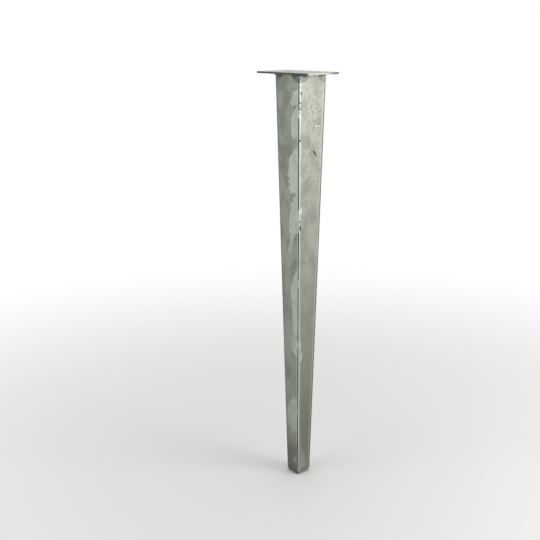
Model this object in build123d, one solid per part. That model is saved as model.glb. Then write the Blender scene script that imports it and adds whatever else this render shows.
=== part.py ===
from build123d import *
import os

# A welded sheet steel table leg: a tapered square tube of two folded halves under a screw plate.
# Millimetres, +Z up. The origin is the middle of the foot, on the floor.
# The front seam is the corner at -X -Y, and the rear seam is the corner at +X +Y.

# Leg
leg_height = 720.0
top_width = 60.0
foot_width = 30.0
sheet = 1.5
bend_radius = 3.0
seam_gap = 0.8
seam_corner_radius = 0.8

# Screw plate
plate_width = 72.0
plate_length = 125.0
plate_thickness = 3.0
plate_corner_radius = 4.0
plate_edge_break = 0.4
plate_shift_x = -3.0
plate_shift_y = 5.0
screw_hole = 6.5
screw_pitch_x = 40.0
screw_pitch_y = 96.0

# Closing plate of the foot
foot_thickness = 6.0
foot_corner_radius = 4.5
foot_edge_radius = 4.0
foot_weld_leg = 1.5

# Stitch welds in the seams: share of the tube's length up from the foot, and length of the weld
short_stitch = 13.0
stitch = 16.0
long_stitch = 46.0
front_stitches = (
    (0.17, short_stitch),
    (0.35, short_stitch),
    (0.51, stitch),
    (0.667, long_stitch),
    (0.915, stitch),
)
rear_stitches = ((0.15, stitch), (0.33, stitch), (0.5, stitch), (0.67, stitch), (0.88, stitch))
seam_end_weld = 4.0
stitch_crown = 0.3
stitch_lap = 1.0

# Fillet welds between the tube's corners and the plate
plate_weld_leg = 3.0
plate_weld_reach = 20.0

# Worked out from the sizes above
tube_bottom = foot_thickness
tube_top = leg_height - plate_thickness
tube_length = tube_top - tube_bottom
slit_near = sheet
slit_far = sheet + seam_gap
round_mid = 1 - 2**-0.5


def width_at(z):
    """Outer width of the tube across its flats at a height."""
    return foot_width + (top_width - foot_width) * (z - tube_bottom) / tube_length


def shell_section(z):
    """L-shaped section of the right-hand half.

    One free edge runs out to the front corner and is rounded there. The other stops a seam gap short of
    the left-hand half, whose own free edge covers the rear corner.
    """
    half = width_at(z) / 2
    inner = half - sheet
    centre = half - bend_radius
    turn = half - bend_radius * round_mid
    inner_turn = inner - (bend_radius - sheet) * round_mid
    tip = half - seam_corner_radius
    tip_turn = half - seam_corner_radius * round_mid
    short_edge = half - slit_far
    outline = [
        Line((-tip, -half), (centre, -half)),
        ThreePointArc((centre, -half), (turn, -turn), (half, -centre)),
        Line((half, -centre), (half, short_edge)),
        Line((half, short_edge), (inner, short_edge)),
        Line((inner, short_edge), (inner, -centre)),
        ThreePointArc((inner, -centre), (inner_turn, -inner_turn), (centre, -inner)),
        Line((centre, -inner), (-half, -inner)),
        Line((-half, -inner), (-half, -tip)),
        ThreePointArc((-half, -tip), (-tip_turn, -tip_turn), (-tip, -half)),
    ]
    return Plane.XY.offset(z) * make_face(outline)


def make_right_shell():
    """Half of the tube, folded once along the corner at +X -Y."""
    return loft([shell_section(tube_bottom), shell_section(tube_top)], ruled=True)


def tube_envelope(z, growth=0.0):
    """Outer section of the closed tube: round at the two bends, slightly round at the two seams."""
    side = width_at(z) + 2 * growth
    section = Rectangle(side, side)
    bends = [v for v in section.vertices() if v.X * v.Y < 0]
    section = fillet(bends, bend_radius + growth)
    seams = [v for v in section.vertices() if abs(v.X - v.Y) < sheet / 10]
    return Plane.XY.offset(z) * fillet(seams, seam_corner_radius + growth)


def end_bead_section(z):
    """Section of a seam weld at an end of the tube: it fills the slit, ground flush."""
    half = width_at(z) / 2
    middle = Pos(sheet / 2 - half, (slit_near + slit_far) / 2 - half)
    return Plane.XY.offset(z) * middle * Rectangle(sheet, seam_gap)


def stitch_section(z):
    """Section of a stitch weld: it fills the slit and has a low crown that laps on to both halves."""
    half = width_at(z) / 2
    face = -half
    root = sheet - half
    near = slit_near - half
    far = slit_far - half
    low_lap = (face, near - stitch_lap)
    high_lap = (face, far + stitch_lap)
    crown = (face - stitch_crown, (near + far) / 2)
    outline = [
        ThreePointArc(low_lap, crown, high_lap),
        Line(high_lap, (face, far)),
        Line((face, far), (root, far)),
        Line((root, far), (root, near)),
        Line((root, near), (face, near)),
        Line((face, near), low_lap),
    ]
    return Plane.XY.offset(z) * make_face(outline)


def make_bead(section, low, high):
    """One seam weld between two heights, which narrows and leans with the tube."""
    return loft([section(low), section(high)], ruled=True)


def make_seam_welds(stitches):
    """The stitch welds of the front seam, with a flush weld at each end of the tube."""
    beads = [
        make_bead(end_bead_section, tube_bottom, tube_bottom + seam_end_weld),
        make_bead(end_bead_section, tube_top - seam_end_weld, tube_top),
    ]
    for place, length in stitches:
        middle = tube_bottom + place * tube_length
        beads.append(make_bead(stitch_section, middle - length / 2, middle + length / 2))
    return Compound(children=beads)


def make_plate():
    """Screw plate with round corners, broken edges and four plain holes."""
    plate = extrude(RectangleRounded(plate_width, plate_length, plate_corner_radius), plate_thickness)
    rims = plate.faces().filter_by(Axis.Z).edges()
    plate = chamfer(rims, plate_edge_break)
    hole = extrude(Circle(screw_hole / 2), plate_thickness)
    for place in GridLocations(screw_pitch_x, screw_pitch_y, 2, 2):
        plate -= place * hole
    return Pos(plate_shift_x, plate_shift_y, tube_top) * plate


def make_plate_weld_ring():
    """Fillet weld of triangular section all round the tube, under the plate."""
    low = tube_top - plate_weld_leg
    outside = loft([tube_envelope(low), tube_envelope(tube_top, plate_weld_leg)], ruled=True)
    return outside - loft([tube_envelope(low), tube_envelope(tube_top)], ruled=True)


def cut_plate_weld(ring, side_x, side_y):
    """The stretch of the ring round one corner of the tube."""
    corner = top_width / 2
    reach = Pos(side_x * corner, side_y * corner, tube_top - plate_weld_leg)
    return ring & (reach * extrude(Circle(plate_weld_reach), plate_weld_leg))


def make_foot_blank():
    """Closing plate under the tube, with round corners, bevelled above for its weld."""
    blank = extrude(RectangleRounded(foot_width, foot_width, foot_corner_radius), foot_thickness)
    return chamfer(blank.faces().sort_by(Axis.Z)[-1].edges(), foot_weld_leg)


def make_foot_plate():
    """Closing plate of the foot, with its lower edge rounded off."""
    blank = make_foot_blank()
    return fillet(blank.faces().sort_by(Axis.Z)[0].edges(), foot_edge_radius)


def make_foot_weld():
    """Weld that fills the bevel of the closing plate, ground flush with the tube."""
    low = foot_thickness - foot_weld_leg
    band = extrude(RectangleRounded(foot_width, foot_width, foot_corner_radius), foot_weld_leg)
    return Pos(0, 0, low) * band - make_foot_blank()


right_shell = make_right_shell()
weld_ring = make_plate_weld_ring()
half_turn = Rotation(0, 0, 180)

nodes = {
    "top_plate": make_plate(),
    "right_shell": right_shell,
    "left_shell": half_turn * right_shell,
    "front_seam_welds": make_seam_welds(front_stitches),
    "rear_seam_welds": half_turn * make_seam_welds(rear_stitches),
    "plate_weld_front": cut_plate_weld(weld_ring, -1, -1),
    "plate_weld_left": cut_plate_weld(weld_ring, -1, 1),
    "plate_weld_right": cut_plate_weld(weld_ring, 1, -1),
    "plate_weld_rear": cut_plate_weld(weld_ring, 1, 1),
    "foot_plate": make_foot_plate(),
    "foot_weld": make_foot_weld(),
}

os.makedirs("parts", exist_ok=True)
for name, shape in nodes.items():
    export_step(shape, f"parts/{name}.step")
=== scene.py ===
import math
from collections import namedtuple
from types import SimpleNamespace

import bmesh
import bpy
from mathutils import Matrix, Vector, noise


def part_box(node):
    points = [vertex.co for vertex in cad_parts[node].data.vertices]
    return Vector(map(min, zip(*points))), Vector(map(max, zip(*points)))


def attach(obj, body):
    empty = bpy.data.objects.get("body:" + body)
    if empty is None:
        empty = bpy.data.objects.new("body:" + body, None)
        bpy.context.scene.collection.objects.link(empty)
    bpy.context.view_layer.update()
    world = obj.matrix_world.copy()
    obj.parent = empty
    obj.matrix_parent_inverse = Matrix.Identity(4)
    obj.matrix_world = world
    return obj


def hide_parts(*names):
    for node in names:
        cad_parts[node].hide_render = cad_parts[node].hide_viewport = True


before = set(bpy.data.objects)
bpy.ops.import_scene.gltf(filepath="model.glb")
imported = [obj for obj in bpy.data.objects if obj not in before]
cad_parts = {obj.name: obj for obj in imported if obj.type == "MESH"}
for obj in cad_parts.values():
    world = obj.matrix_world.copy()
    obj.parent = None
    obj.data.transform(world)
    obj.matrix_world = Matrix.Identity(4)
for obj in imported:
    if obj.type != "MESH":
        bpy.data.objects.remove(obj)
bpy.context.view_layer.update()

# Sizes of the leg in millimetres, which the materials and the welds work in
MM = 1000.0
tube_low, tube_high = (Vector(corner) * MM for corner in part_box("right_shell"))
foot_low, foot_high = (Vector(corner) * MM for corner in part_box("foot_plate"))
TUBE_BOTTOM = tube_low.z
TUBE_TOP = tube_high.z
HALF_FOOT = (foot_high.x - foot_low.x) / 2
HALF_TOP = tube_high.x
HALF_SLOPE = (HALF_TOP - HALF_FOOT) / (TUBE_TOP - TUBE_BOTTOM)
SHEET = 1.5
SEAM_GAP = 0.8
SEAM_RADIUS = 0.8
BEND_RADIUS = 3.0

# Tones of the steel and the floor, as linear colours
# The left-hand face's tones are darker than the right-hand face's: partly the sheets' own tone, partly
# painted shade on the left-hand face
LEFT_LIGHT = (0.288, 0.318, 0.256)
LEFT_DARK = (0.200, 0.224, 0.184)
LEFT_BLUE = (0.245, 0.283, 0.268)
RIGHT_LIGHT = (0.375, 0.385, 0.318)
EDGE_LIGHT = (0.480, 0.485, 0.385)
RIGHT_DARK = (0.285, 0.298, 0.252)
RIGHT_DULL = (0.310, 0.325, 0.285)
SMUDGE = (0.205, 0.208, 0.188)
RIGHT_OLIVE = (0.190, 0.195, 0.150)
GROUND_LIGHT = (0.465, 0.520, 0.448)
GROUND_DULL = (0.365, 0.415, 0.362)
BURNISHED = (0.700, 0.705, 0.665)
OXIDE = (0.050, 0.052, 0.050)
OXIDE_GREY = (0.120, 0.125, 0.115)
BEND_GREY = (0.060, 0.058, 0.066)
TINT_BLUE = (0.205, 0.235, 0.228)
TINT_STRAW = (0.160, 0.150, 0.080)
RUST = (0.300, 0.060, 0.030)
WHITE_SPECK = (0.900, 0.900, 0.880)
YELLOW_SPECK = (0.620, 0.560, 0.250)
FLOOR_TONE = (0.90, 0.90, 0.89)

# Noise: size of a feature across and its stretch along Z, and how many finer layers it has
Grain = namedtuple("Grain", "size stretch detail")
NOISE_ROUGHNESS = 0.55

# Bare steel, where no scale covers it
METALLIC = 0.72
SPECULAR = 0.5


def colour(value):
    """A colour of three numbers as the four that a socket takes."""
    if isinstance(value, bpy.types.NodeSocket):
        return value
    return (*value, 1.0)


class Graph:
    """A material's node tree, with short calls for the nodes used here."""

    def __init__(self, name):
        self.material = bpy.data.materials.new(name)
        self.material.use_nodes = True
        self.tree = self.material.node_tree
        self.shader = self.tree.nodes["Principled BSDF"]
        place = self.tree.nodes.new("ShaderNodeTexCoord").outputs["Object"]
        self.x, self.y, self.z = (self.mul(axis, MM) for axis in self.split(place))

    def feed(self, socket, value):
        """Link a socket to another one, or set it to a plain value."""
        if isinstance(value, bpy.types.NodeSocket):
            self.tree.links.new(value, socket)
        else:
            socket.default_value = value

    def calculate(self, operation, a, b=0.0):
        node = self.tree.nodes.new("ShaderNodeMath")
        node.operation = operation
        self.feed(node.inputs[0], a)
        self.feed(node.inputs[1], b)
        return node.outputs[0]

    def add(self, a, b):
        return self.calculate("ADD", a, b)

    def sub(self, a, b):
        return self.calculate("SUBTRACT", a, b)

    def mul(self, a, b):
        return self.calculate("MULTIPLY", a, b)

    def larger(self, a, b):
        return self.calculate("MAXIMUM", a, b)

    def size_of(self, value):
        return self.calculate("ABSOLUTE", value)

    def ramp(self, value, start, end, smooth=True):
        """0 where the value is at the start, 1 where it is at the end."""
        node = self.tree.nodes.new("ShaderNodeMapRange")
        node.interpolation_type = "SMOOTHSTEP" if smooth else "LINEAR"
        self.feed(node.inputs["Value"], value)
        node.inputs["From Min"].default_value = start
        node.inputs["From Max"].default_value = end
        return node.outputs["Result"]

    def band(self, value, start, full, fade, end):
        """1 from full to fade, 0 up to the start and from the end on."""
        return self.mul(self.ramp(value, start, full), self.ramp(value, end, fade))

    def between(self, share, low, high):
        """The low value at a share of 0, the high one at a share of 1."""
        return self.add(low, self.mul(share, high - low))

    def sway(self, value, amount):
        """Noise moved to lie about zero, times an amount."""
        return self.mul(self.sub(value, 0.5), amount)

    def turned(self, u, v, angle):
        """Two coordinates as the distances along and across a line at an angle."""
        along = self.add(self.mul(u, math.cos(angle)), self.mul(v, math.sin(angle)))
        across = self.sub(self.mul(v, math.cos(angle)), self.mul(u, math.sin(angle)))
        return along, across

    def mix(self, share, a, b):
        node = self.tree.nodes.new("ShaderNodeMix")
        node.data_type = "RGBA"
        self.feed(node.inputs["Factor"], share)
        self.feed(node.inputs["A"], colour(a))
        self.feed(node.inputs["B"], colour(b))
        return node.outputs["Result"]

    def cover(self, base, tone, mask, strength):
        """The base with a tone laid over it where the mask is."""
        return self.mix(self.mul(mask, strength), base, tone)

    def colours(self, value, *stops):
        """A colour ramp through (position, colour) stops."""
        node = self.tree.nodes.new("ShaderNodeValToRGB")
        elements = node.color_ramp.elements
        while len(elements) < len(stops):
            elements.new(1.0)
        for element, (position, tone) in zip(elements, stops):
            element.position = position
            element.color = colour(tone)
        self.feed(node.inputs["Fac"], value)
        return node.outputs["Color"]

    def vector(self, x, y, z):
        node = self.tree.nodes.new("ShaderNodeCombineXYZ")
        for socket, value in zip(node.inputs, (x, y, z)):
            self.feed(socket, value)
        return node.outputs[0]

    def split(self, vector):
        node = self.tree.nodes.new("ShaderNodeSeparateXYZ")
        self.feed(node.inputs[0], vector)
        return node.outputs

    def noise(self, x, y, z, detail):
        node = self.tree.nodes.new("ShaderNodeTexNoise")
        node.inputs["Scale"].default_value = 1.0
        node.inputs["Detail"].default_value = detail
        node.inputs["Roughness"].default_value = NOISE_ROUGHNESS
        self.feed(node.inputs["Vector"], self.vector(x, y, z))
        return node.outputs["Fac"]

    def grain(self, kind):
        """Noise at the point itself, with features of one size."""
        x, y = (self.mul(axis, 1 / kind.size) for axis in (self.x, self.y))
        z = self.mul(self.z, 1 / (kind.size * kind.stretch))
        return self.noise(x, y, z, kind.detail)

    def facing(self, axis):
        """How far the surface faces along an axis, either way."""
        normal = self.tree.nodes.new("ShaderNodeNewGeometry").outputs["Normal"]
        return self.size_of(self.split(normal)[axis])

    def bump(self, height, distance, strength):
        node = self.tree.nodes.new("ShaderNodeBump")
        node.inputs["Strength"].default_value = strength
        node.inputs["Distance"].default_value = distance
        self.feed(node.inputs["Height"], height)
        return node.outputs["Normal"]

    def finish(self, base, roughness, normal, scale=0.0):
        """Set the shader as bare steel, dull where scale covers it."""
        bare = self.sub(1.0, scale)
        self.feed(self.shader.inputs["Base Color"], base)
        self.feed(self.shader.inputs["Metallic"], self.mul(bare, METALLIC))
        self.feed(self.shader.inputs["Specular IOR Level"], self.mul(bare, SPECULAR))
        self.feed(self.shader.inputs["Roughness"], roughness)
        self.feed(self.shader.inputs["Normal"], normal)
        return self.material


# Sheet: its noises, and how far the rear faces' finish is moved up so that it doesn't repeat the front's
CLOUDS = Grain(24.0, 1.5, 4.0)
MOTTLE = Grain(5.0, 1.2, 4.0)
SPECKS = Grain(1.5, 1.0, 2.0)
ROLLING = Grain(0.7, 14.0, 2.0)
EDGES = Grain(11.0, 1.3, 3.0)
REAR_OFFSET = 47.0


def place_on_tube(g):
    """Where a point is on the tube, and the noises there.

    The rear faces are the front ones turned half round. The side is the distance from the seam, above zero on
    the face to its left and below zero on the face to its right.
    """
    at = SimpleNamespace()
    at.rear = g.calculate("GREATER_THAN", g.add(g.x, g.y), 0.0)
    at.front = g.sub(1.0, at.rear)
    at.side = g.mul(g.sub(g.y, g.x), g.between(at.rear, 1.0, -1.0))
    at.from_seam = g.size_of(at.side)
    at.on_left = g.calculate("GREATER_THAN", at.side, 0.0)
    at.on_right = g.sub(1.0, at.on_left)
    width = g.add(g.mul(g.sub(g.z, TUBE_BOTTOM), 2 * HALF_SLOPE), 2 * HALF_FOOT)
    at.to_bend = g.sub(width, at.from_seam)
    at.height = g.add(g.z, g.mul(at.rear, REAR_OFFSET))
    at.clouds = g.grain(CLOUDS)
    at.mottle = g.grain(MOTTLE)
    at.specks = g.grain(SPECKS)
    at.rolling = g.grain(ROLLING)
    at.edges = g.grain(EDGES)
    return at


# Rolled sheet: ranges of noise and height in which one tone gives way to another, and how strongly
LEFT_CLOUDS = (0.40, 0.57)
RIGHT_CLOUDS = (0.34, 0.62)
BLUE_HEIGHTS = (420.0, 200.0)
BLUE_SHARE = 0.55
# Heights over which painted shade darkens the right-hand face towards the foot
RIGHT_SHADE_HEIGHTS = (430.0, 100.0)
BLOTCH_MOTTLE = (0.48, 0.74)
BLOTCH_HEIGHTS = (300.0, 660.0)
BLOTCH_SHARE = 0.75
FLECK_SPECKS = (0.56, 0.72)
FLECK_SHARE = 0.36
LINE_ROLLING = (0.45, 0.75)
LINE_SHARE = 0.10


def rolled_sheet(g, at):
    """Plain sheet: cloudy, blotched towards the top, flecked, with faint rolling lines."""
    # Left-hand face darker than the right-hand face: partly the sheets' own tone, partly painted shade
    left = g.mix(g.ramp(at.clouds, *LEFT_CLOUDS), LEFT_DARK, LEFT_LIGHT)
    left = g.cover(left, LEFT_BLUE, g.ramp(at.height, *BLUE_HEIGHTS), BLUE_SHARE)
    right = g.mix(g.ramp(at.clouds, *RIGHT_CLOUDS), RIGHT_DARK, RIGHT_LIGHT)
    # Painted shade: the right-hand face turns darker olive towards the foot
    right = g.mix(g.ramp(at.height, *RIGHT_SHADE_HEIGHTS, smooth=False), right, RIGHT_OLIVE)
    base = g.mix(at.on_left, right, left)
    blotch = g.mul(g.ramp(at.mottle, *BLOTCH_MOTTLE), g.ramp(at.height, *BLOTCH_HEIGHTS))
    base = g.cover(base, SMUDGE, blotch, BLOTCH_SHARE)
    base = g.cover(base, OXIDE_GREY, g.ramp(at.specks, *FLECK_SPECKS), FLECK_SHARE)
    return g.cover(base, GROUND_LIGHT, g.ramp(at.rolling, *LINE_ROLLING), LINE_SHARE)


# Patches ground beside a seam, which fall by the droop for each millimetre away from it
Patch = namedtuple("Patch", "middle half_height reach droop")
GROUND_PATCHES = (
    Patch(685.0, 13.0, 24.0, 0.5),
    Patch(646.0, 29.0, 21.0, 0.6),
    Patch(564.0, 40.0, 30.0, 0.5),
    Patch(504.0, 42.0, 26.0, 1.5),
    Patch(376.0, 24.0, 22.0, 1.4),
    Patch(316.0, 48.0, 18.0, 0.5),
    Patch(247.0, 18.0, 28.0, -0.45),
    Patch(122.0, 38.0, 29.0, 0.3),
)
PATCH_POWER_UP = 2.6
PATCH_POWER_OUT = 3.2
PATCH_RIM = (0.0, 0.12)
PATCH_EDGE = (0.10, 0.24)
PATCH_TONES = (0.35, 0.62)
PATCH_HEIGHTS = (120.0, 260.0)
PATCH_SHARES = (0.6, 0.9)

# Streaks that the grinder left: their angle and size, and how far they and other noise move the edge and the
# tone of a patch
STREAK_TILT = math.radians(31.0)
STREAK_WIDTH = 1.7
STREAK_LENGTH = 24.0
STREAK_DETAIL = 3.0
STREAK_SWAY = 1.5
EDGE_SWAY = 1.6
CLOUD_SWAY = 0.6


def grinding_streaks(g, at):
    """Noise drawn out along the strokes of the grinder."""
    along, across = g.turned(at.side, at.height, STREAK_TILT)
    return g.noise(g.mul(across, 1 / STREAK_WIDTH), g.mul(along, 1 / STREAK_LENGTH), at.rear, STREAK_DETAIL)


def ground_patches(g, at, streaks):
    """Mask of the patches ground beside the seam, with ragged edges."""
    depth = 0.0
    for patch in GROUND_PATCHES:
        drooped = g.add(at.height, g.mul(at.from_seam, patch.droop))
        up = g.size_of(g.mul(g.sub(drooped, patch.middle), 1 / patch.half_height))
        out = g.mul(at.from_seam, 1 / patch.reach)
        outside = g.add(g.calculate("POWER", up, PATCH_POWER_UP), g.calculate("POWER", out, PATCH_POWER_OUT))
        depth = g.larger(depth, g.larger(g.sub(1.0, outside), 0.0))
    ragged = g.add(g.sway(streaks, STREAK_SWAY), g.sway(at.edges, EDGE_SWAY))
    depth = g.add(depth, g.mul(ragged, g.ramp(depth, *PATCH_RIM)))
    return g.mul(g.ramp(depth, *PATCH_EDGE), at.on_left)


def grind(g, at, base, ground, streaks):
    """The base with the ground patches, fainter towards the foot."""
    shade = g.ramp(g.add(streaks, g.sway(at.clouds, CLOUD_SWAY)), *PATCH_TONES)
    tone = g.mix(shade, GROUND_DULL, GROUND_LIGHT)
    share = g.between(g.ramp(g.z, *PATCH_HEIGHTS), *PATCH_SHARES)
    return g.mix(g.mul(ground, share), base, tone)


# Dark lower end of the left-hand face
LOWER_DARKENING_SWAY = 70.0
LOWER_DARKENING_HEIGHTS = (98.0, 42.0)
LOWER_DARKENING_SHARE = 0.75


def lower_darkening_mask(g, at):
    """Mask of the dark lower end, with a cloudy edge."""
    return g.mul(g.ramp(g.add(g.z, g.sway(at.clouds, LOWER_DARKENING_SWAY)), *LOWER_DARKENING_HEIGHTS), at.on_left)


# Edges beside the slit, burnished and lit by painted highlights: distances from the seam in which each shows,
# and how strongly
WANDER_EDGES = 4.0
WANDER_MOTTLE = 3.0
HIGHLIGHT_STRIP = (3.4, 2.2)
HIGHLIGHT_STRIP_HEIGHTS = (470.0, 640.0)
HIGHLIGHT_STRIP_SHARES = (0.25, 0.80)
LIP_HIGHLIGHT = (2.7, 3.2, 4.2, 5.6)
LIP_HIGHLIGHT_SHARE = 0.75
LIP_LOWER_DARKENING = 0.6
MARGIN = (7.0, 3.5)
MARGIN_HEIGHTS = (420.0, 250.0)
MARGIN_SHARE = 0.45
ARRIS_HIGHLIGHT = (2.2, 1.3)
ARRIS_HIGHLIGHT_WANDER = 0.3
ARRIS_HIGHLIGHT_SHARE = 0.75
SLIT = (0.4, 0.8, 2.6, 3.1)
SLIT_SHARE = 0.94


def seam_edges(g, at, base, lower_darkening, slit):
    """The base with the burnished edges of the seam, with painted highlights on them, and the dark slit
    between them.
    """
    wander = g.add(g.sway(at.edges, WANDER_EDGES), g.sway(at.mottle, WANDER_MOTTLE))
    wandering = g.add(at.from_seam, wander)
    # Painted highlight along the free edge of the right-hand sheet, partly a burnished edge
    highlight_strip = g.mul(g.ramp(wandering, *HIGHLIGHT_STRIP), at.on_right)
    highlight_strip = g.mul(highlight_strip, g.between(g.ramp(at.height, *HIGHLIGHT_STRIP_HEIGHTS), *HIGHLIGHT_STRIP_SHARES))
    base = g.mix(highlight_strip, base, BURNISHED)
    # Painted highlight along the left-hand sheet's edge beside the slit
    lip_highlight = g.mul(g.band(at.from_seam, *LIP_HIGHLIGHT), at.on_left)
    base = g.cover(base, GROUND_LIGHT, lip_highlight, g.sub(LIP_HIGHLIGHT_SHARE, g.mul(lower_darkening, LIP_LOWER_DARKENING)))
    margin = g.mul(g.mul(g.ramp(wandering, *MARGIN), at.on_right), g.ramp(at.height, *MARGIN_HEIGHTS))
    base = g.cover(base, RIGHT_LIGHT, margin, MARGIN_SHARE)
    # Painted highlight on the rounded corner of the seam, partly a burnished edge
    arris_highlight = g.mul(g.ramp(g.add(at.from_seam, g.mul(wander, ARRIS_HIGHLIGHT_WANDER)), *ARRIS_HIGHLIGHT), at.on_right)
    base = g.cover(base, BURNISHED, arris_highlight, ARRIS_HIGHLIGHT_SHARE)
    return g.cover(base, OXIDE, slit, SLIT_SHARE)


# Bends, with a painted dark reflection along them: distances from the far corner of a face
BEND_REFLECTION = (4.2, 2.9)
BEND_REFLECTION_SHARE = 0.8
BEND_REFLECTION_DULLING = 0.5
CREST = (2.35, 1.85)
CREST_SHARE = 0.6
LINING = (4.2, 4.9, 6.0, 7.2)
LINING_SHARE = 0.3


def bend_edges(g, at, base, dark_bend_reflection):
    """The base with a painted dark reflection along the bends, less dark along their crest, and a pale line
    beside them.
    """
    # Painted dark reflection along each bend
    base = g.cover(base, BEND_GREY, dark_bend_reflection, BEND_REFLECTION_SHARE)
    base = g.cover(base, RIGHT_DARK, g.ramp(at.to_bend, *CREST), CREST_SHARE)
    lining = g.mul(g.band(at.to_bend, *LINING), at.on_right)
    return g.cover(base, BURNISHED, lining, LINING_SHARE)


# Heat tint under the plate: rings round each corner of the tube, whose size is 1 at their outer edge
TINT_WIDTH = 19.0
TINT_HEIGHT = 12.0
TINT_SWAY = 4.0
TINT_EDGE = (1.10, 0.85)
TINT_SHARE = 0.75
RING = (0.82, 0.96, 0.99, 1.14)
RING_SHARE = 0.7
# Painted shadow of the gap under the plate, a little way out from each corner
UNDER_PLATE_SHADOW_OUT = (6.0, 10.0, 13.0, 17.0)
UNDER_PLATE_SHADOW_HEIGHTS = (TUBE_TOP - 6.5, TUBE_TOP - 4.0)
UNDER_PLATE_SHADOW_SHARE = 0.8


def heat_tint(g, at, base):
    """The base with a blue patch and a straw ring where each plate weld heated the sheet, and a painted
    shadow just under the plate.
    """
    from_corner = g.calculate("MINIMUM", at.from_seam, at.to_bend)
    wander = g.sway(at.mottle, TINT_SWAY)
    out = g.mul(g.add(from_corner, wander), 1 / TINT_WIDTH)
    down = g.mul(g.sub(TUBE_TOP, g.z), 1 / TINT_HEIGHT)
    away = g.calculate("SQRT", g.add(g.mul(out, out), g.mul(down, down)))
    blue = g.mix(at.on_left, TINT_BLUE, OXIDE_GREY)
    base = g.cover(base, blue, g.ramp(away, *TINT_EDGE), TINT_SHARE)
    base = g.cover(base, TINT_STRAW, g.band(away, *RING), RING_SHARE)
    # Painted shadow just under the plate
    under_plate_shadow = g.mul(g.band(from_corner, *UNDER_PLATE_SHADOW_OUT), g.ramp(g.add(g.z, wander), *UNDER_PLATE_SHADOW_HEIGHTS))
    return g.cover(base, OXIDE, under_plate_shadow, UNDER_PLATE_SHADOW_SHARE)


# Single marks on the front faces: the side is below zero on the right-hand face, and a tilt of 90 is upright
Mark = namedtuple("Mark", "side height half_length half_width tilt softness tone")
MARKS = (
    Mark(-3.2, 688.0, 3.0, 1.6, 90.0, 0.5, OXIDE),
    Mark(-1.4, 672.5, 1.8, 1.2, 90.0, 0.5, OXIDE),
    Mark(-1.4, 662.5, 2.2, 1.4, 90.0, 0.5, OXIDE),
    Mark(-1.6, 612.0, 2.4, 1.6, 90.0, 0.5, OXIDE),
    Mark(-1.4, 476.0, 2.4, 1.0, 70.0, 0.5, OXIDE),
    Mark(-2.8, 465.0, 5.0, 1.9, 80.0, 0.5, OXIDE),
    Mark(-3.4, 651.0, 4.0, 1.4, 90.0, 0.6, YELLOW_SPECK),
    Mark(-34.5, 589.0, 7.5, 2.0, 50.0, 0.8, OXIDE_GREY),
    Mark(-22.0, 604.0, 8.0, 0.8, 60.0, 1.0, LEFT_DARK),
    Mark(-30.0, 599.0, 4.5, 0.7, 40.0, 1.0, LEFT_DARK),
    Mark(-21.0, 681.0, 5.5, 2.6, 110.0, 1.6, RIGHT_DARK),
    Mark(-33.0, 689.0, 6.5, 3.0, 70.0, 1.6, RIGHT_DARK),
    Mark(-37.8, 633.0, 1.5, 1.3, 0.0, 0.4, WHITE_SPECK),
    Mark(-44.7, 633.0, 1.3, 1.0, 0.0, 0.4, WHITE_SPECK),
    Mark(-11.7, 403.0, 1.7, 1.4, 0.0, 0.5, RUST),
    # The next two marks are bright patches along the seam's edge: partly a burnished edge, partly a painted
    # highlight
    Mark(-2.8, 253.0, 12.0, 3.5, 90.0, 1.0, EDGE_LIGHT),
    Mark(-5.5, 231.0, 11.0, 4.0, 100.0, 1.0, EDGE_LIGHT),
    Mark(-4.2, 494.0, 6.5, 2.4, 90.0, 1.2, BURNISHED),
    Mark(-9.0, 18.0, 34.0, 12.0, 78.0, 1.5, RIGHT_DULL),
    Mark(-14.0, 8.5, 6.5, 2.2, 175.0, 1.2, OXIDE_GREY),
    Mark(19.5, 10.5, 2.6, 2.2, 0.0, 0.8, OXIDE),
    Mark(26.0, 262.0, 46.0, 13.0, 90.0, 1.6, LEFT_LIGHT),
    Mark(28.0, 194.0, 16.0, 9.0, 90.0, 1.6, LEFT_DARK),
    Mark(9.5, 28.0, 9.0, 3.5, 85.0, 1.4, LEFT_LIGHT),
    Mark(19.0, 437.0, 24.0, 4.5, 108.0, 1.2, GROUND_DULL),
    Mark(22.0, 422.0, 5.0, 0.9, 50.0, 0.8, GROUND_LIGHT),
    Mark(25.0, 395.0, 4.0, 0.9, 50.0, 0.8, GROUND_LIGHT),
)
MARK_EDGE = 0.8
MARK_SWAY = 2.2
MARK_SHARE = 0.9


def mark_mask(g, at, mark):
    """Mask of one mark: an ellipse with a ragged edge."""
    out = g.sub(at.side, mark.side)
    up = g.sub(at.height, mark.height)
    along, across = g.turned(out, up, math.radians(mark.tilt))
    length = g.mul(along, 1 / mark.half_length)
    breadth = g.mul(across, 1 / mark.half_width)
    away = g.add(g.mul(length, length), g.mul(breadth, breadth))
    away = g.add(away, g.sway(at.specks, MARK_SWAY))
    inside = g.ramp(away, MARK_EDGE + mark.softness / 2, MARK_EDGE - mark.softness / 2)
    return g.mul(g.mul(inside, MARK_SHARE), at.front)


# Surface of the sheet: roughness from one end of the mottle to the other, and relief in metres
SHEET_ROUGHNESS = (0.42, 0.56)
ROLLING_RELIEF = 0.6
STREAK_RELIEF = 0.5
SHEET_RELIEF = 0.00012
SHEET_BUMP = 0.5


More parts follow.
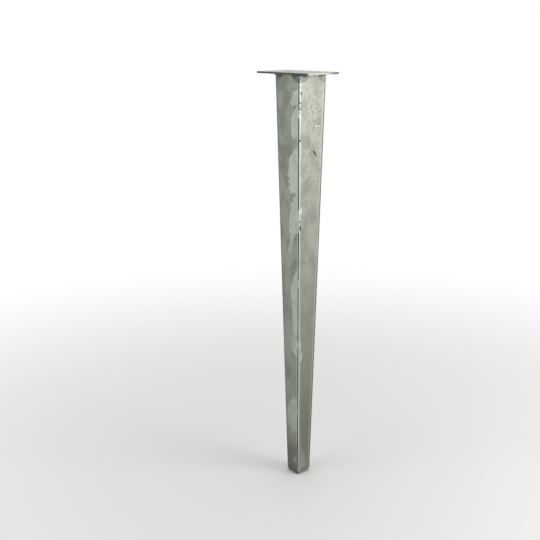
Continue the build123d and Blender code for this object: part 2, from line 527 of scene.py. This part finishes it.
def shell_material():
    """Raw rolled sheet: cloudy, with ground patches by the seams and heat tint under the plate."""
    g = Graph("raw_sheet_steel")
    at = place_on_tube(g)
    streaks = grinding_streaks(g, at)
    ground = ground_patches(g, at, streaks)
    lower_darkening = lower_darkening_mask(g, at)
    slit = g.mul(g.band(at.from_seam, *SLIT), at.on_left)
    dark_bend_reflection = g.ramp(at.to_bend, *BEND_REFLECTION)

    base = rolled_sheet(g, at)
    base = grind(g, at, base, ground, streaks)
    # The left-hand face turns darker towards the foot
    base = g.cover(base, OXIDE_GREY, lower_darkening, LOWER_DARKENING_SHARE)
    base = seam_edges(g, at, base, lower_darkening, slit)
    base = bend_edges(g, at, base, dark_bend_reflection)
    base = heat_tint(g, at, base)

    # The painted dark reflection on the bends also dulls the metal there, as scale does
    scale = g.larger(slit, g.mul(dark_bend_reflection, BEND_REFLECTION_DULLING))
    for mark in MARKS:
        mask = mark_mask(g, at, mark)
        base = g.mix(mask, base, mark.tone)
        if mark.tone in (OXIDE, OXIDE_GREY):
            scale = g.larger(scale, mask)

    relief = g.add(g.mul(at.rolling, ROLLING_RELIEF), g.mul(streaks, g.mul(ground, STREAK_RELIEF)))
    normal = g.bump(relief, SHEET_RELIEF, SHEET_BUMP)
    return g.finish(base, g.between(at.mottle, *SHEET_ROUGHNESS), normal, scale)


# Screw plate: rolled along its length, which lies along Y
PLATE_CLOUDS = Grain(18.0, 1.0, 4.0)
PLATE_TONES = (0.34, 0.66)
PLATE_LINE_WIDTH = 0.8
PLATE_LINE_LENGTH = 16.0
PLATE_LINE_DETAIL = 2.0
PLATE_LINES = (0.4, 0.75)
PLATE_LINE_SHARE = 0.2
EDGE_FACING = (0.5, 0.8)
MILL_EDGE_AND_SHADE_SHARE = 0.85
CUT_END_SHARE = 0.5
CUT_END_DARK = (4.0, 22.0)
CUT_END_DARK_SHARE = 0.85
PLATE_ROUGHNESS = (0.42, 0.57)
PLATE_RELIEF = 0.0001
PLATE_BUMP = 0.4


def plate_material():
    """Plate cut from flat bar: faint rolling lines, dark mill edges whose darkness is partly painted shade,
    and cut ends that are bright in part.
    """
    g = Graph("raw_plate_steel")
    clouds = g.grain(PLATE_CLOUDS)
    across, upward = (g.mul(axis, 1 / PLATE_LINE_WIDTH) for axis in (g.x, g.z))
    rolling = g.noise(across, g.mul(g.y, 1 / PLATE_LINE_LENGTH), upward, PLATE_LINE_DETAIL)
    base = g.mix(g.ramp(clouds, *PLATE_TONES), RIGHT_DARK, RIGHT_LIGHT)
    base = g.cover(base, GROUND_LIGHT, g.ramp(rolling, *PLATE_LINES), PLATE_LINE_SHARE)
    # Edges facing along X: dark mill scale, partly painted shade
    mill_edge_and_shade = g.mul(g.ramp(g.facing("X"), *EDGE_FACING), MILL_EDGE_AND_SHADE_SHARE)
    base = g.mix(mill_edge_and_shade, base, BEND_GREY)
    cut_end = g.ramp(g.facing("Y"), *EDGE_FACING)
    base = g.cover(base, GROUND_LIGHT, cut_end, CUT_END_SHARE)
    base = g.cover(base, BEND_GREY, g.mul(cut_end, g.ramp(g.x, *CUT_END_DARK)), CUT_END_DARK_SHARE)
    normal = g.bump(rolling, PLATE_RELIEF, PLATE_BUMP)
    return g.finish(base, g.between(clouds, *PLATE_ROUGHNESS), normal, mill_edge_and_shade)


# Foot: paler to the right of the front corner as painted light, with a painted contact shadow round its lower
# rim
FOOT_CLOUDS = Grain(5.0, 1.0, 4.0)
FOOT_TONES = (0.40, 0.70)
FOOT_LIT_SIDE = (-2.0, 6.0)
FOOT_LIT_SIDE_SHARE = 0.6
FOOT_CONTACT_SHADOW = (1.8, 0.5)
FOOT_CONTACT_SHADOW_SHARE = 0.75
FOOT_ROUGHNESS = (0.40, 0.60)
FOOT_RELIEF = 0.0002
FOOT_BUMP = 0.4
FOOT_SCALE = 0.5


def foot_material():
    """Foot: the closing plate and its ground weld, dull and dark, with a painted lit side and a painted
    contact shadow.
    """
    g = Graph("worn_foot_steel")
    clouds = g.grain(FOOT_CLOUDS)
    base = g.mix(g.ramp(clouds, *FOOT_TONES), OXIDE_GREY, RIGHT_OLIVE)
    # Painted light: the right-hand side is paler, as the tube's lit face is
    base = g.cover(base, RIGHT_LIGHT, g.ramp(g.sub(g.x, g.y), *FOOT_LIT_SIDE), FOOT_LIT_SIDE_SHARE)
    # Painted contact shadow round the lower rim
    base = g.cover(base, OXIDE, g.ramp(g.z, *FOOT_CONTACT_SHADOW), FOOT_CONTACT_SHADOW_SHARE)
    normal = g.bump(clouds, FOOT_RELIEF, FOOT_BUMP)
    return g.finish(base, g.between(clouds, *FOOT_ROUGHNESS), normal, FOOT_SCALE)


# Stitch welds: darker towards the foot
STITCH_SPOTS = Grain(2.5, 1.5, 3.0)
STITCH_PITS = Grain(0.6, 1.0, 2.0)
STITCH_TONES = ((0.28, RIGHT_DARK), (0.46, GROUND_LIGHT), (0.68, BURNISHED))
PIT_EDGE = (0.52, 0.70)
PIT_SHARE = 0.5
DARK_STITCH_HEIGHTS = (190.0, 140.0)
DARK_STITCH_SHARE = 0.6
STITCH_ROUGHNESS = 0.4
STITCH_RELIEF = 0.0001
STITCH_BUMP = 0.6


def ground_weld_material():
    """Weld metal ground flush, pitted and brighter than the sheet."""
    g = Graph("ground_weld")
    pits = g.grain(STITCH_PITS)
    base = g.colours(g.grain(STITCH_SPOTS), *STITCH_TONES)
    base = g.cover(base, OXIDE_GREY, g.ramp(pits, *PIT_EDGE), PIT_SHARE)
    base = g.cover(base, BEND_GREY, g.ramp(g.z, *DARK_STITCH_HEIGHTS), DARK_STITCH_SHARE)
    return g.finish(base, STITCH_ROUGHNESS, g.bump(pits, STITCH_RELIEF, STITCH_BUMP))


# Beads under the plate
BEAD_SPOTS = Grain(3.0, 1.0, 3.0)
BEAD_TONES = ((0.35, OXIDE), (0.55, OXIDE_GREY), (0.72, TINT_STRAW))
BEAD_ROUGHNESS = (0.35, 0.55)
BEAD_RELIEF = 0.0003
BEAD_BUMP = 0.7
BEAD_SCALE = 0.5


def dark_weld_material():
    """As-welded bead, dark with oxide and tinted where it cooled."""
    g = Graph("dark_weld")
    spots = g.grain(BEAD_SPOTS)
    base = g.colours(spots, *BEAD_TONES)
    normal = g.bump(spots, BEAD_RELIEF, BEAD_BUMP)
    return g.finish(base, g.between(spots, *BEAD_ROUGHNESS), normal, BEAD_SCALE)


def dress(material, *names):
    """Give CAD pieces a material."""
    for name in names:
        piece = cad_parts[name]
        piece.data.materials.clear()
        piece.data.materials.append(material)


WELD_SHARP = math.radians(50.0)


def skin(first, rings, count):
    """Faces of a closed skin over rings of points, each of the same count, with a cap at either end."""
    faces = []
    for k in range(rings - 1):
        lower = first + k * count
        upper = lower + count
        for i in range(count):
            j = (i + 1) % count
            faces.append((lower + i, lower + j, upper + j, upper + i))
    last = first + (rings - 1) * count
    faces.append(tuple(range(first, first + count)))
    faces.append(tuple(reversed(range(last, last + count))))
    return faces


def add_bead(name, points, faces, material):
    """A smooth solid from points and faces."""
    mesh = bpy.data.meshes.new(name)
    mesh.from_pydata(points, [], faces)
    shape = bmesh.new()
    shape.from_mesh(mesh)
    bmesh.ops.recalc_face_normals(shape, faces=shape.faces)
    shape.to_mesh(mesh)
    shape.free()
    mesh.shade_smooth()
    mesh.set_sharp_from_angle(angle=WELD_SHARP)
    mesh.materials.append(material)
    bead = bpy.data.objects.new(name, mesh)
    bpy.context.scene.collection.objects.link(bead)
    return bead


def eased(distance, length):
    """Rise of a round end: 0 at the end, 1 from the length on."""
    return math.sqrt(1.0 - (1.0 - min(distance / length, 1.0)) ** 2)


# Beads under the plate: the corner that each goes round, and its rippled shape
PLATE_WELDS = (
    ("plate_weld_front", -1, -1),
    ("plate_weld_left", -1, 1),
    ("plate_weld_right", 1, -1),
    ("plate_weld_rear", 1, 1),
)
BEAD_STEP = 0.4
BEAD_TURN_STEPS = 12
BEAD_ARC = 8
BEAD_END = 2.5
BEAD_END_SIZE = 0.35
BEAD_WAVER = 0.06
BEAD_WAVER_RATES = (0.37, 0.81)
BEAD_PITCH = 2.6
BEAD_SWEEP = 1.5
BEAD_CROWN = 0.45
BEAD_RIPPLE = 0.14


def bead_path(reach, radius):
    """Points and outward normals round a corner whose two faces run along +X and +Y from the origin."""
    stations = []
    steps = round((reach - radius) / BEAD_STEP)
    for i in range(steps):
        stations.append((Vector((reach - i * BEAD_STEP, 0.0)), Vector((0.0, -1.0))))
    for i in range(BEAD_TURN_STEPS + 1):
        turn = math.radians(-90.0 - 90.0 * i / BEAD_TURN_STEPS)
        normal = Vector((math.cos(turn), math.sin(turn)))
        stations.append((Vector((radius, radius)) + radius * normal, normal))
    for i in range(steps):
        stations.append((Vector((0.0, reach - (steps - 1 - i) * BEAD_STEP)), Vector((-1.0, 0.0))))
    return stations


def bead_swell(travelled, length, side_x, side_y):
    """Size of a bead along its way: it rises from its ends and wavers."""
    rise = eased(min(travelled, length - travelled), BEAD_END)
    rate_x, rate_y = BEAD_WAVER_RATES
    wave = math.sin(rate_x * travelled + side_x) * math.sin(rate_y * travelled + side_y)
    return (BEAD_END_SIZE + (1.0 - BEAD_END_SIZE) * rise) * (1.0 - BEAD_WAVER + BEAD_WAVER * wave)


def bead_section(leg, travelled):
    """How far out and down the points of a bead's section lie: its root, then its bulging, rippled face."""
    section = [(0.0, 0.0)]
    for i in range(BEAD_ARC + 1):
        turn = math.radians(90.0 * i / BEAD_ARC)
        phase = 2 * math.pi * travelled / BEAD_PITCH - BEAD_SWEEP * math.sin(2 * turn)
        wave = 0.5 + 0.5 * math.sin(phase)
        flat = 1.0 / (math.cos(turn) + math.sin(turn))
        size = leg * (flat + (1.0 - flat) * BEAD_CROWN) * (1.0 - BEAD_RIPPLE * wave)
        down = size * math.sin(turn)
        section.append((size * math.cos(turn) - HALF_SLOPE * down, down))
    return section


def add_plate_bead(node, side_x, side_y, material):
    """A rippled weld bead round one corner of the tube, where the plain fillet is."""
    low, high = (Vector(corner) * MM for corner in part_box(node))
    leg = high.z - low.z
    reach = high.x - low.x - leg
    radius = SEAM_RADIUS if side_x * side_y > 0 else BEND_RADIUS
    stations = bead_path(reach, radius)
    travels = [0.0]
    for (before, _), (after, _) in zip(stations, stations[1:]):
        travels.append(travels[-1] + (after - before).length)
    points = []
    for (point, normal), travelled in zip(stations, travels):
        swell = bead_swell(travelled, travels[-1], side_x, side_y)
        for out, down in bead_section(leg * swell, travelled):
            spot = point + normal * out
            x = side_x * (HALF_TOP - spot.x)
            y = side_y * (HALF_TOP - spot.y)
            points.append((x / MM, y / MM, (high.z - down) / MM))
    faces = skin(0, len(stations), BEAD_ARC + 2)
    bead = add_bead(node + "_bead", points, faces, material)
    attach(bead, "root")
    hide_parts(node)


# Welds in the seams: 1 for the front seam and -1 for the rear one, half a turn away. A stitch is ground low,
# laps unevenly on to both halves and sinks into the slit at its upper end
SEAM_WELDS = (("front_seam_welds", 1), ("rear_seam_welds", -1))
STITCH_STEP = 0.3
STITCH_ACROSS = 8
STITCH_FLATNESS = 4
STITCH_LAP = 1.0
STITCH_LEAST_LAP = 0.25
STITCH_CROWN = 0.12
STITCH_CROWN_SPREAD = 0.06
STITCH_ROUND = 1.6
STITCH_EDGE_SINK = 0.05
SINK_SHARE = 0.2
SINK_DEPTH = 1.1

# Rows of the noise that shapes a stitch, which lie apart and off the noise's own grid
NEAR_ROW = 0
FAR_ROW = 5
CROWN_ROW = 9
ROW_SPACING = 7.3
ROW_SHIFT = 0.4
RAGGED_SIZE = 1.6
RAGGED_REACH = 0.7


def seam_weld_ranges(node):
    """Lower and upper end of each weld in a node, whose corners all lie at the ends of its welds."""
    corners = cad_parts[node].data.vertices
    heights = sorted({round(corner.co.z * MM, 2) for corner in corners})
    return list(zip(heights[::2], heights[1::2]))


def ragged(z, row):
    """A number from about 0 to 1 that wanders along the seam."""
    return 0.5 + RAGGED_REACH * noise.noise(Vector((z / RAGGED_SIZE, ROW_SPACING * row, ROW_SHIFT)))


def stitch_laps(z, low, high, turn):
    """How far a stitch laps on to the sheet on either side of the slit at a height."""
    widest = STITCH_LAP * eased(min(z - low, high - z), STITCH_ROUND)
    laps = []
    for row in (turn + NEAR_ROW, turn + FAR_ROW):
        laps.append(widest * (STITCH_LEAST_LAP + (1.0 - STITCH_LEAST_LAP) * ragged(z, row)))
    return laps


def stitch_sink(z, low, high):
    """How far a stitch's edge lies below the sheet's face at a height."""
    near_top = max(0.0, 1.0 - (high - z) / (SINK_SHARE * (high - low)))
    return STITCH_EDGE_SINK + SINK_DEPTH * near_top * near_top * (3.0 - 2.0 * near_top)


def seam_weld_ring(z, low, high, turn):
    """Section of a seam weld. It fills the slit, and is plain and flush at an end of the tube."""
    half = HALF_FOOT + (z - TUBE_BOTTOM) * HALF_SLOPE
    near = SHEET - half
    far = near + SEAM_GAP
    crown = sink = lap_near = lap_far = 0.0
    if low > TUBE_BOTTOM + SHEET and high < TUBE_TOP - SHEET:
        crown = STITCH_CROWN + STITCH_CROWN_SPREAD * ragged(z, turn + CROWN_ROW)
        sink = stitch_sink(z, low, high)
        lap_near, lap_far = stitch_laps(z, low, high, turn)
    ring = [(near, far), (near, near)]
    for i in range(STITCH_ACROSS + 1):
        share = i / STITCH_ACROSS
        proud = crown * (1.0 - (2.0 * share - 1.0) ** STITCH_FLATNESS) - sink
        ring.append((-half - proud, near - lap_near + share * (SEAM_GAP + lap_near + lap_far)))
    return [(turn * x / MM, turn * y / MM, z / MM) for x, y in ring]


def add_seam_welds(node, turn, material):
    """Ground stitch welds with uneven edges, where the plain bars are."""
    points = []
    faces = []
    for low, high in seam_weld_ranges(node):
        steps = round((high - low) / STITCH_STEP)
        faces += skin(len(points), steps + 1, STITCH_ACROSS + 3)
        for k in range(steps + 1):
            points += seam_weld_ring(low + (high - low) * k / steps, low, high, turn)
    bead = add_bead(node + "_bead", points, faces, material)
    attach(bead, "root")
    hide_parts(node)


# Camera, fitted to the leg's edges in the photograph
IMAGE_SIZE = 540
FOCAL_PIXELS = 865.4
SENSOR_MM = 36.0
CAMERA_PLACE = Vector((-0.9852, -1.0644, 0.7848))
CAMERA_AZIMUTH = math.radians(40.752)
CAMERA_PITCH = math.radians(15.464)
CAMERA_ROLL = math.radians(-0.226)


def add_camera():
    """Camera at the photograph's viewing angle."""
    forward = Vector((
        math.sin(CAMERA_AZIMUTH) * math.cos(CAMERA_PITCH),
        math.cos(CAMERA_AZIMUTH) * math.cos(CAMERA_PITCH),
        -math.sin(CAMERA_PITCH),
    ))
    level = Vector((math.cos(CAMERA_AZIMUTH), -math.sin(CAMERA_AZIMUTH), 0.0))
    upward = level.cross(forward)
    right = level * math.cos(CAMERA_ROLL) + upward * math.sin(CAMERA_ROLL)
    up = upward * math.cos(CAMERA_ROLL) - level * math.sin(CAMERA_ROLL)
    data = bpy.data.cameras.new("camera")
    data.sensor_width = SENSOR_MM
    data.lens = FOCAL_PIXELS * SENSOR_MM / IMAGE_SIZE
    camera = bpy.data.objects.new("camera", data)
    turn = Matrix((right, up, -forward)).transposed().to_4x4()
    camera.matrix_world = Matrix.Translation(CAMERA_PLACE) @ turn
    bpy.context.scene.collection.objects.link(camera)
    bpy.context.scene.camera = camera


# Surroundings: strength of their light on the object, the floor's size in metres and its finish, and the
# distances in millimetres over which it fades
AMBIENT = 0.30
FLOOR_RADIUS = 9.0
FLOOR_SIDES = 96
FLOOR_ROUGHNESS = 0.6
FLOOR_FADE = (100.0, 1500.0)


def seen_directly(tree):
    """1 for rays that show the background itself: to the eye, in metal and through glass."""
    path = tree.nodes.new("ShaderNodeLightPath")
    seen = path.outputs["Is Camera Ray"]
    for ray in ("Is Glossy Ray", "Is Transmission Ray"):
        either = tree.nodes.new("ShaderNodeMath")
        either.operation = "MAXIMUM"
        tree.links.new(seen, either.inputs[0])
        tree.links.new(path.outputs[ray], either.inputs[1])
        seen = either.outputs[0]
    return seen


def floor_material():
    """Pale floor that fades into the white surroundings."""
    g = Graph("pale_floor")
    g.shader.inputs["Base Color"].default_value = colour(FLOOR_TONE)
    g.shader.inputs["Roughness"].default_value = FLOOR_ROUGHNESS
    away = g.calculate("SQRT", g.add(g.mul(g.x, g.x), g.mul(g.y, g.y)))
    glow = g.tree.nodes.new("ShaderNodeEmission")
    glow.inputs["Strength"].default_value = 1.0
    blend = g.tree.nodes.new("ShaderNodeMixShader")
    g.feed(blend.inputs[0], g.mul(g.ramp(away, *FLOOR_FADE), seen_directly(g.tree)))
    g.tree.links.new(g.shader.outputs[0], blend.inputs[1])
    g.tree.links.new(glow.outputs[0], blend.inputs[2])
    g.tree.links.new(blend.outputs[0], g.tree.nodes["Material Output"].inputs["Surface"])
    return g.material


def add_floor():
    """Round floor under the leg."""
    bpy.ops.mesh.primitive_circle_add(vertices=FLOOR_SIDES, radius=FLOOR_RADIUS, fill_type="NGON")
    floor = bpy.context.object
    floor.name = "floor"
    floor.data.materials.append(floor_material())


def add_world():
    """White surroundings to the eye and in reflections, a softer light on the object."""
    world = bpy.data.worlds.new("surroundings")
    bpy.context.scene.world = world
    world.use_nodes = True
    tree = world.node_tree
    shade = tree.nodes["Background"]
    shade.inputs["Color"].default_value = (1.0, 1.0, 1.0, 1.0)
    level = tree.nodes.new("ShaderNodeMapRange")
    level.inputs["To Min"].default_value = AMBIENT
    level.inputs["To Max"].default_value = 1.0
    tree.links.new(seen_directly(tree), level.inputs["Value"])
    tree.links.new(level.outputs["Result"], shade.inputs["Strength"])


# Lamps, in metres and watts
Lamp = namedtuple("Lamp", "name place aim size power")
LAMPS = (
    Lamp("key", Vector((0.55, -1.05, 0.78)), Vector((0.0, 0.0, 0.5)), (0.7, 0.5), 6.1),
    Lamp("fill", Vector((-1.5, 0.35, 0.9)), Vector((0.0, 0.0, 0.45)), (1.2, 1.0), 5.0),
    Lamp("top", Vector((0.1, 0.1, 2.4)), Vector((0.0, 0.0, 0.0)), (1.6, 1.6), 20.0),
)


def add_lamp(lamp):
    """Rectangular lamp turned towards its aim."""
    data = bpy.data.lights.new(lamp.name, "AREA")
    data.shape = "RECTANGLE"
    data.size, data.size_y = lamp.size
    data.energy = lamp.power
    light = bpy.data.objects.new(lamp.name, data)
    light.location = lamp.place
    light.rotation_euler = (lamp.aim - lamp.place).to_track_quat("-Z", "Y").to_euler()
    bpy.context.scene.collection.objects.link(light)


bpy.context.scene.view_settings.view_transform = "Standard"
dress(shell_material(), "right_shell", "left_shell")
dress(plate_material(), "top_plate")
dress(foot_material(), "foot_plate", "foot_weld")
ground_weld = ground_weld_material()
for node, turn in SEAM_WELDS:
    dress(ground_weld, node)
    add_seam_welds(node, turn, ground_weld)
dark_weld = dark_weld_material()
for node, side_x, side_y in PLATE_WELDS:
    dress(dark_weld, node)
    add_plate_bead(node, side_x, side_y, dark_weld)
add_camera()
add_world()
add_floor()
for lamp in LAMPS:
    add_lamp(lamp)
